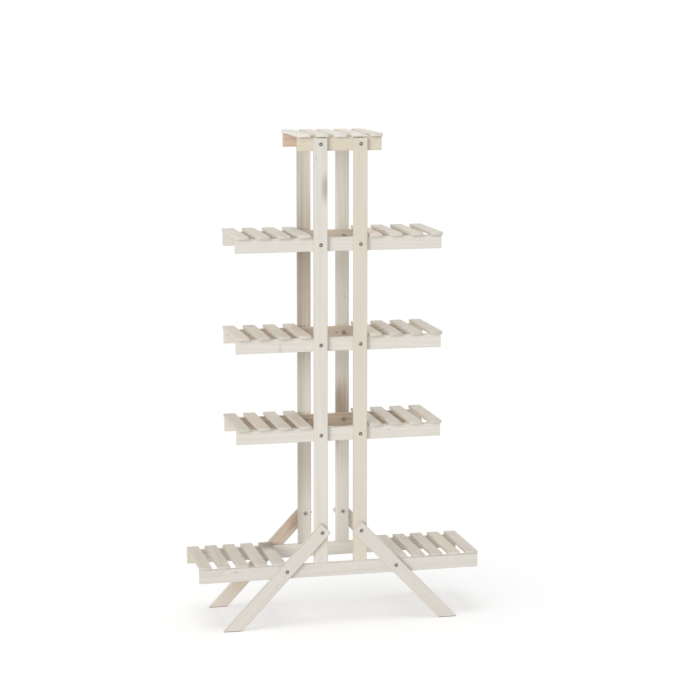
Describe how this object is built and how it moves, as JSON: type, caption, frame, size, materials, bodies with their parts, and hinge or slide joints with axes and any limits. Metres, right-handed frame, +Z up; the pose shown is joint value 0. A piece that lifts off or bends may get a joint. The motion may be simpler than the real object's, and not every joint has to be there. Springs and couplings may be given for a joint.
{
  "type": "plant ladder stand",
  "caption": "Tall free-standing plant stand of white-glazed battens: paired posts carry slatted shelves that widen towards the floor, on splayed bolted legs.",
  "frame": {"origin": "on the floor, below the middle of the stand", "axes": "+X to the right along the shelves, +Y to the rear, +Z up along the posts"},
  "size_m": [0.8, 0.261, 1.374],
  "materials": {
    "glazed_pine": "white glaze on planed pine, matt, grain and knots showing",
    "zinc_bolts": "bright zinc plate",
    "zinc_nuts": "bright zinc plate",
    "nail_steel": "bright steel"
  },
  "bodies": {
    "root": {"post_front_left": "glazed_pine", "post_front_right": "glazed_pine", "post_rear_left": "glazed_pine", "post_rear_right": "glazed_pine", "leg_front_left": "glazed_pine", "leg_front_right": "glazed_pine", "leg_rear_left": "glazed_pine", "leg_rear_right": "glazed_pine", "shelf_1_rail_front": "glazed_pine", "shelf_1_rail_rear": "glazed_pine", "shelf_2_rail_front": "glazed_pine", "shelf_2_rail_rear": "glazed_pine", "shelf_3_rail_front": "glazed_pine", "shelf_3_rail_rear": "glazed_pine", "shelf_4_rail_front": "glazed_pine", "shelf_4_rail_rear": "glazed_pine", "shelf_5_rail_front": "glazed_pine", "shelf_5_rail_rear": "glazed_pine", "shelf_1_slat_1": "glazed_pine", "shelf_1_slat_2": "glazed_pine", "shelf_1_slat_3": "glazed_pine", "shelf_1_slat_4": "glazed_pine", "shelf_1_slat_5": "glazed_pine", "shelf_2_slat_1": "glazed_pine", "shelf_2_slat_2": "glazed_pine", "shelf_2_slat_3": "glazed_pine", "shelf_2_slat_4": "glazed_pine", "shelf_2_slat_5": "glazed_pine", "shelf_2_slat_6": "glazed_pine", "shelf_2_slat_7": "glazed_pine", "shelf_2_slat_8": "glazed_pine", "shelf_3_slat_1": "glazed_pine", "shelf_3_slat_2": "glazed_pine", "shelf_3_slat_3": "glazed_pine", "shelf_3_slat_4": "glazed_pine", "shelf_3_slat_5": "glazed_pine", "shelf_3_slat_6": "glazed_pine", "shelf_3_slat_7": "glazed_pine", "shelf_3_slat_8": "glazed_pine", "shelf_4_slat_1": "glazed_pine", "shelf_4_slat_2": "glazed_pine", "shelf_4_slat_3": "glazed_pine", "shelf_4_slat_4": "glazed_pine", "shelf_4_slat_5": "glazed_pine", "shelf_4_slat_6": "glazed_pine", "shelf_4_slat_7": "glazed_pine", "shelf_4_slat_8": "glazed_pine", "shelf_5_slat_1": "glazed_pine", "shelf_5_slat_2": "glazed_pine", "shelf_5_slat_3": "glazed_pine", "shelf_5_slat_4": "glazed_pine", "shelf_5_slat_5": "glazed_pine", "shelf_5_slat_6": "glazed_pine", "shelf_5_slat_7": "glazed_pine", "shelf_5_slat_8": "glazed_pine", "shelf_5_slat_9": "glazed_pine", "shelf_5_slat_10": "glazed_pine", "bolts": "zinc_bolts", "nuts": "zinc_nuts", "slat_nails": "nail_steel"}
  },
  "joints": []
}
